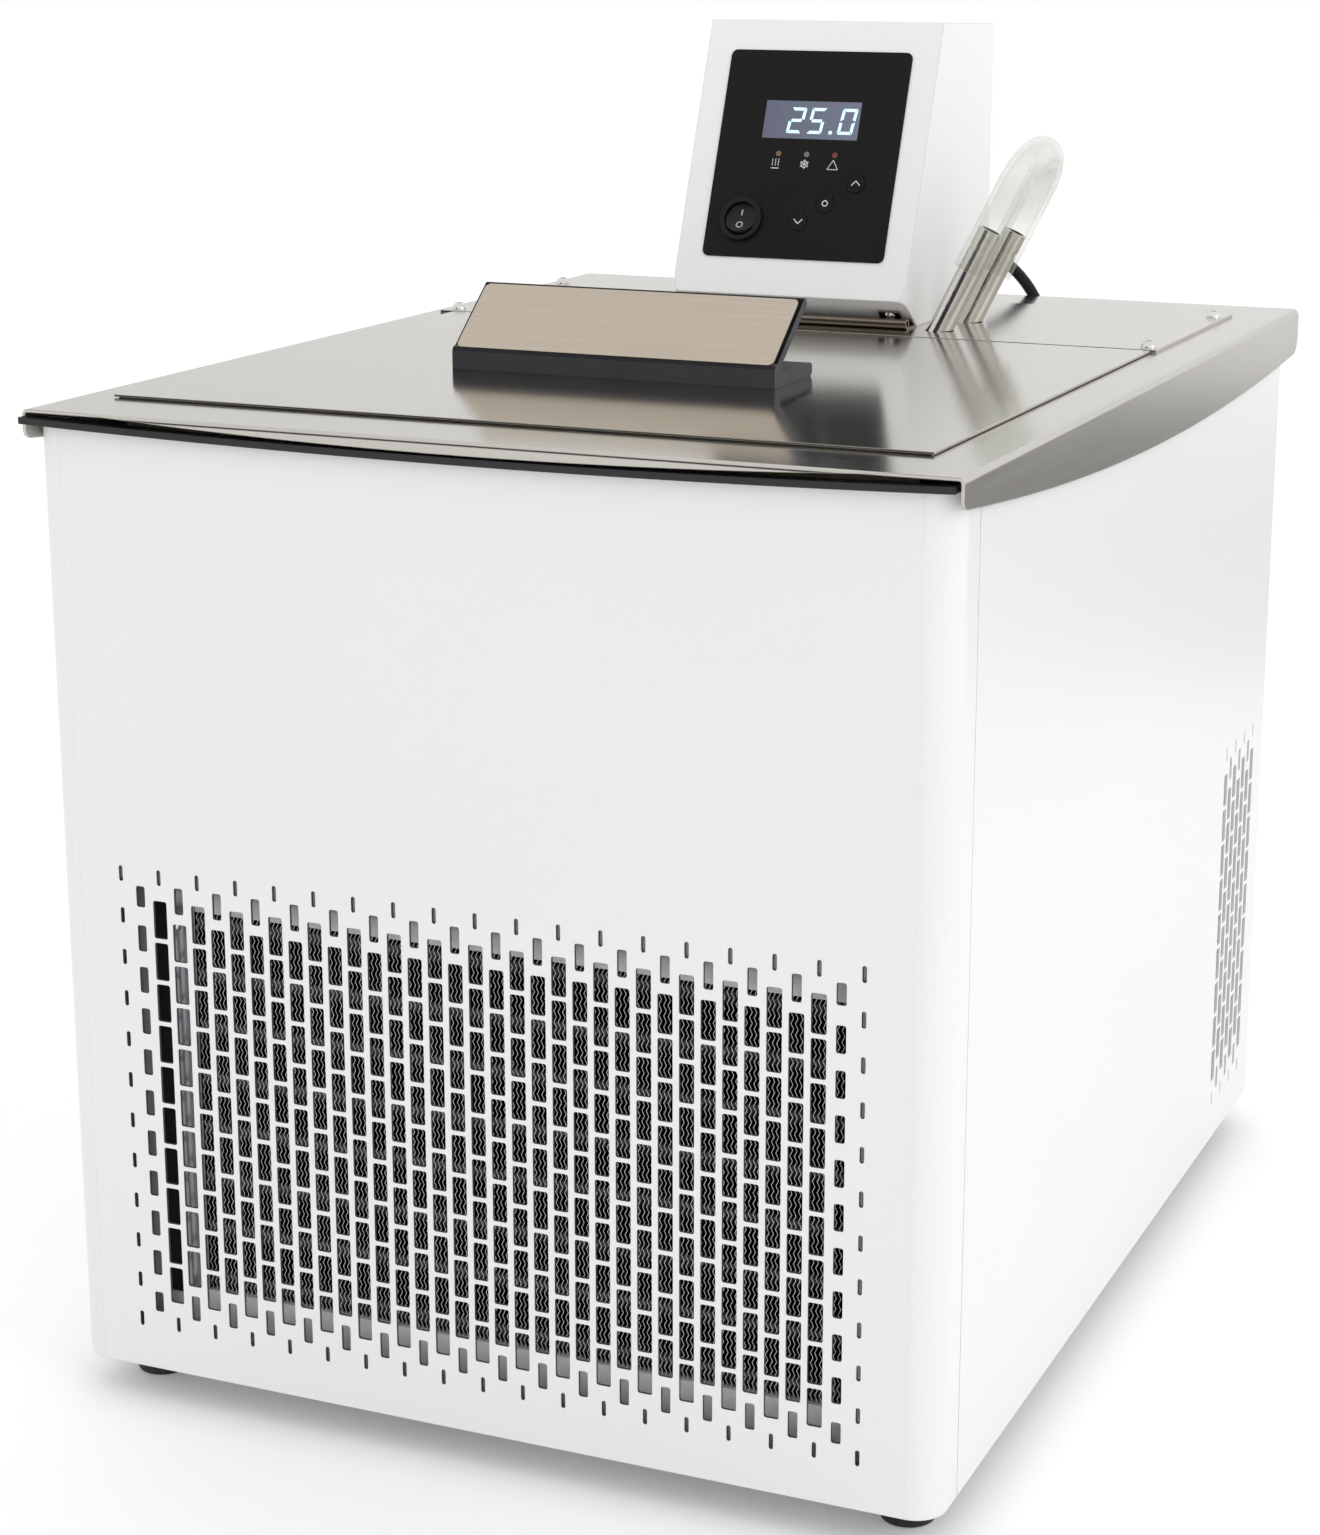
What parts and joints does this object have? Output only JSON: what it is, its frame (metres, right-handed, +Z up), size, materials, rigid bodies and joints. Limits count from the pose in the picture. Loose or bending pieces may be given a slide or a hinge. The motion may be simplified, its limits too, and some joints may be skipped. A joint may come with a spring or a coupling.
{
  "type": "refrigerated circulator",
  "caption": "Bench-top refrigerated bath circulator: white casing with a slotted grille, folded steel deck, lift-off lid and a control head with display, switch and hose nozzles.",
  "frame": {"origin": "centre of the bounding box at the height of the feet's lower faces", "axes": "+Z up, -Y out of the front grille, +X to the right seen from the front"},
  "size_m": [0.4378, 0.6017, 0.6292],
  "materials": {
    "pan_paint": "satin",
    "white_paint": "gloss",
    "trim_rubber": "satin",
    "foot_rubber": "matte",
    "brushed_steel": "brushed",
    "screw_steel": "polished",
    "tank_steel": "satin",
    "foam": "matte",
    "coil_nickel": "satin",
    "valve_nickel": "satin",
    "black_plastic": "satin",
    "fin_aluminium": "satin",
    "seal_foam": "matte",
    "copper_pipe": "satin",
    "motor_metal": "satin",
    "black_paint": "gloss",
    "box_plastic": "matte",
    "lead_rubber": "satin",
    "white_plastic": "satin",
    "dark_steel": "brushed",
    "black_foil": "satin",
    "display_glass": "gloss",
    "led_plastic": "gloss",
    "switch_plastic": "gloss",
    "board_green": "matte",
    "nozzle_steel": "polished",
    "clear_hose": "gloss",
    "shaft_steel": "polished",
    "handle_plastic": "matte",
    "brushed_plate": "brushed"
  },
  "bodies": {
    "cabinet": {"base_pan": "pan_paint", "front_panel": "white_paint", "front_trim": "trim_rubber", "side_panel_left": "white_paint", "side_panel_right": "white_paint", "rear_panel": "white_paint", "feet": "foot_rubber", "tank_shelf": "pan_paint", "deck_sheet": "brushed_steel", "bridge_plate": "brushed_steel", "bridge_screws": "screw_steel", "bath_tank": "tank_steel", "tank_insulation": "foam", "evaporator_coil": "coil_nickel", "drain_tap": "valve_nickel", "condenser_frame": "pan_paint", "condenser_channel": "fin_aluminium", "condenser_seal": "seal_foam", "condenser_screw": "screw_steel", "condenser_fins": "fin_aluminium", "condenser_tubes": "copper_pipe", "fan_shroud": "black_plastic", "fan_motor": "motor_metal", "compressor": "black_paint", "compressor_mounts": "foot_rubber", "filter_dryer": "copper_pipe", "discharge_line": "copper_pipe", "suction_line": "copper_pipe", "capillary_line": "copper_pipe", "control_box": "box_plastic", "mains_inlet": "black_plastic", "lead_plug": "lead_rubber", "link_lead": "lead_rubber", "lead_gland": "lead_rubber", "head_housing": "white_plastic", "head_bracket": "dark_steel", "bracket_screws": "screw_steel", "control_foil": "black_foil", "display_window": "display_glass", "status_leds": "led_plastic", "switch_bezel": "switch_plastic", "control_board": "board_green", "nozzle_outlet": "nozzle_steel", "nozzle_return": "nozzle_steel", "bypass_hose": "clear_hose", "pump_motor": "motor_metal", "pump_housing": "black_plastic", "heater_rod": "shaft_steel", "temperature_probe": "shaft_steel"},
    "lid": {"bath_lid": "brushed_steel", "lid_handle": "handle_plastic", "handle_plate": "brushed_plate"},
    "rocker": {"switch_rocker": "switch_plastic"},
    "up_key": {"key_up": "black_foil"},
    "select_key": {"key_select": "black_foil"},
    "down_key": {"key_down": "black_foil"},
    "fan": {"fan_rotor": "black_plastic"},
    "pump_rotor": {"pump_shaft": "shaft_steel"},
    "drain_lever": {"drain_knob": "black_plastic"}
  },
  "joints": [
    {"name": "lid_lift", "type": "slide", "parent": "cabinet", "child": "lid", "axis": [0, 0, 1], "range_m": [0, 0.12]},
    {"name": "rocker_tilt", "type": "hinge", "parent": "cabinet", "child": "rocker", "pos_m": [-0.0449, 0.117, 0.52651], "axis": [1, 0, 0], "range_deg": [0, 24]},
    {"name": "fan_spin", "type": "hinge", "parent": "cabinet", "child": "fan", "pos_m": [0.011, -0.2386, 0.15215], "axis": [0, 1, 0], "continuous": true},
    {"name": "pump_spin", "type": "hinge", "parent": "cabinet", "child": "pump_rotor", "pos_m": [-0.0133, 0.165, 0.3726], "axis": [0, 0, 1], "continuous": true},
    {"name": "drain_turn", "type": "hinge", "parent": "cabinet", "child": "drain_lever", "pos_m": [-0.15, 0.278, 0.0658], "axis": [0, 0, 1], "range_deg": [0, 90]},
    {"name": "up_press", "type": "slide", "parent": "cabinet", "child": "up_key", "axis": [0, 0.9285, -0.3714], "range_m": [0, 0.0005], "stiffness_N_per_m": 400},
    {"name": "select_press", "type": "slide", "parent": "cabinet", "child": "select_key", "axis": [0, 0.9285, -0.3714], "range_m": [0, 0.0005], "stiffness_N_per_m": 400},
    {"name": "down_press", "type": "slide", "parent": "cabinet", "child": "down_key", "axis": [0, 0.9285, -0.3714], "range_m": [0, 0.0005], "stiffness_N_per_m": 400}
  ]
}
